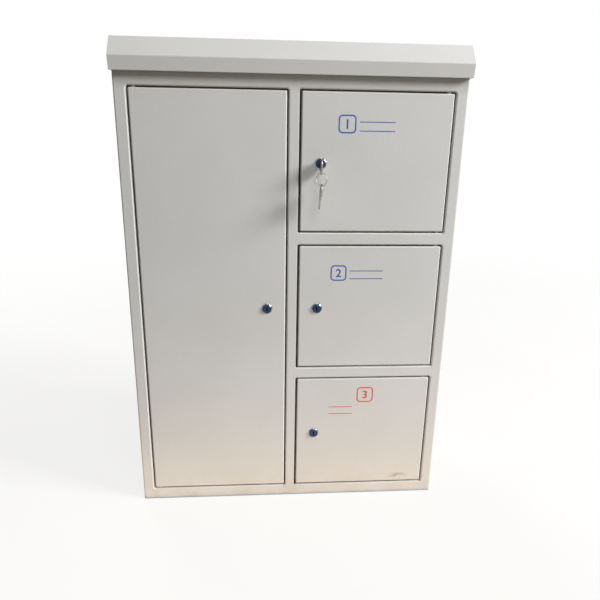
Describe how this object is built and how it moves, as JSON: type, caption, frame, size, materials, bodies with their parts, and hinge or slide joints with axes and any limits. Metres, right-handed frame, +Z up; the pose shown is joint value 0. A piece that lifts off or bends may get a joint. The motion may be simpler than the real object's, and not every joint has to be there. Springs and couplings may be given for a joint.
{
  "type": "roadside fibre distribution cabinet",
  "caption": "Steel outdoor cabinet with a tall door beside stacked small doors, a rain hood, cam locks, keys and fibre trays inside.",
  "frame": {"origin": "centre of the body's footprint, on the ground", "axes": "+X to the right, the front faces -Y, +Z up"},
  "size_m": [0.604, 0.291, 0.877],
  "materials": {
    "grey_powder_coat": "fine-textured powder coat, satin",
    "lock_chrome": "bright chrome plate",
    "lock_face_dark": "dark chrome plate",
    "zinc_plate": "bright zinc plate",
    "key_nickel": "nickel plate, brushed",
    "gasket_foam": "matt closed-cell foam",
    "black_rubber": "matt",
    "black_plastic": "moulded, matt",
    "tray_plastic": "moulded, satin",
    "adapter_plastic": "moulded",
    "guide_plastic": "moulded",
    "earth_brass": "rolled"
  },
  "bodies": {
    "cabinet": {"face_frame": "grey_powder_coat", "body_wrapper": "grey_powder_coat", "bottom_pan": "grey_powder_coat", "top_pan": "grey_powder_coat", "divider": "grey_powder_coat", "lower_shelf": "grey_powder_coat", "upper_shelf": "grey_powder_coat", "rain_hood": "grey_powder_coat", "hood_rails": "zinc_plate", "gland_plate": "black_plastic", "entry_trims": "black_rubber", "tray_rack": "grey_powder_coat", "splice_trays": "tray_plastic", "tray_adapters": "adapter_plastic", "clamp_rail": "grey_powder_coat", "cable_clamps": "zinc_plate", "earth_bar": "earth_brass", "earth_bolts": "zinc_plate", "fibre_guides": "guide_plastic", "bottom_tray_bracket": "grey_powder_coat", "middle_tray_bracket": "grey_powder_coat", "top_tray_bracket": "grey_powder_coat", "operator_trays": "tray_plastic", "operator_adapters": "adapter_plastic"},
    "left_door_leaf": {"left_door": "grey_powder_coat", "left_door_gasket": "gasket_foam", "left_lock_housing": "lock_chrome", "left_lock_nut": "zinc_plate", "left_door_stiffener": "grey_powder_coat"},
    "left_lock": {"left_lock_plug": "lock_face_dark", "left_lock_cam": "zinc_plate", "left_cam_screw": "zinc_plate"},
    "top_door_leaf": {"top_door": "grey_powder_coat", "top_door_gasket": "gasket_foam", "top_lock_housing": "lock_chrome", "top_lock_nut": "zinc_plate"},
    "top_lock": {"top_lock_plug": "lock_face_dark", "top_lock_cam": "zinc_plate", "top_cam_screw": "zinc_plate", "key": "key_nickel"},
    "middle_door_leaf": {"middle_door": "grey_powder_coat", "middle_door_gasket": "gasket_foam", "middle_lock_housing": "lock_chrome", "middle_lock_nut": "zinc_plate"},
    "middle_lock": {"middle_lock_plug": "lock_face_dark", "middle_lock_cam": "zinc_plate", "middle_cam_screw": "zinc_plate"},
    "bottom_door_leaf": {"bottom_door": "grey_powder_coat", "bottom_door_gasket": "gasket_foam", "bottom_lock_housing": "lock_chrome", "bottom_lock_nut": "zinc_plate"},
    "bottom_lock": {"bottom_lock_plug": "lock_face_dark", "bottom_lock_cam": "zinc_plate", "bottom_cam_screw": "zinc_plate"},
    "ring": {"key_ring": "key_nickel"},
    "spare": {"spare_key": "key_nickel"}
  },
  "joints": [
    {"name": "left_door_swing", "type": "hinge", "parent": "cabinet", "child": "left_door_leaf", "pos_m": [-0.267, -0.118, 0.4126], "axis": [0, 0, -1], "range_deg": [0, 110]},
    {"name": "left_lock_turn", "type": "hinge", "parent": "left_door_leaf", "child": "left_lock", "pos_m": [-0.047, -0.125, 0.4126], "axis": [0, -1, 0], "range_deg": [0, 90]},
    {"name": "top_door_swing", "type": "hinge", "parent": "cabinet", "child": "top_door_leaf", "pos_m": [0.267, -0.118, 0.6793], "axis": [0, 0, 1], "range_deg": [0, 110]},
    {"name": "top_lock_turn", "type": "hinge", "parent": "top_door_leaf", "child": "top_lock", "pos_m": [0.047, -0.125, 0.6793], "axis": [0, 1, 0], "range_deg": [0, 90]},
    {"name": "middle_door_swing", "type": "hinge", "parent": "cabinet", "child": "middle_door_leaf", "pos_m": [0.267, -0.118, 0.4126], "axis": [0, 0, 1], "range_deg": [0, 110]},
    {"name": "middle_lock_turn", "type": "hinge", "parent": "middle_door_leaf", "child": "middle_lock", "pos_m": [0.047, -0.125, 0.4126], "axis": [0, 1, 0], "range_deg": [0, 90]},
    {"name": "bottom_door_swing", "type": "hinge", "parent": "cabinet", "child": "bottom_door_leaf", "pos_m": [0.267, -0.118, 0.1459], "axis": [0, 0, 1], "range_deg": [0, 110]},
    {"name": "bottom_lock_turn", "type": "hinge", "parent": "bottom_door_leaf", "child": "bottom_lock", "pos_m": [0.047, -0.125, 0.1459], "axis": [0, 1, 0], "range_deg": [0, 90]},
    {"name": "ring_swing", "type": "hinge", "parent": "top_lock", "child": "ring", "pos_m": [0.047, -0.1498, 0.6661], "axis": [-0.766, 0.6428, 0], "range_deg": [-5, 60]},
    {"name": "spare_key_swing", "type": "hinge", "parent": "ring", "child": "spare", "pos_m": [0.047, -0.1498, 0.6437], "axis": [-0.766, 0.6428, 0], "range_deg": [-5, 60]}
  ]
}
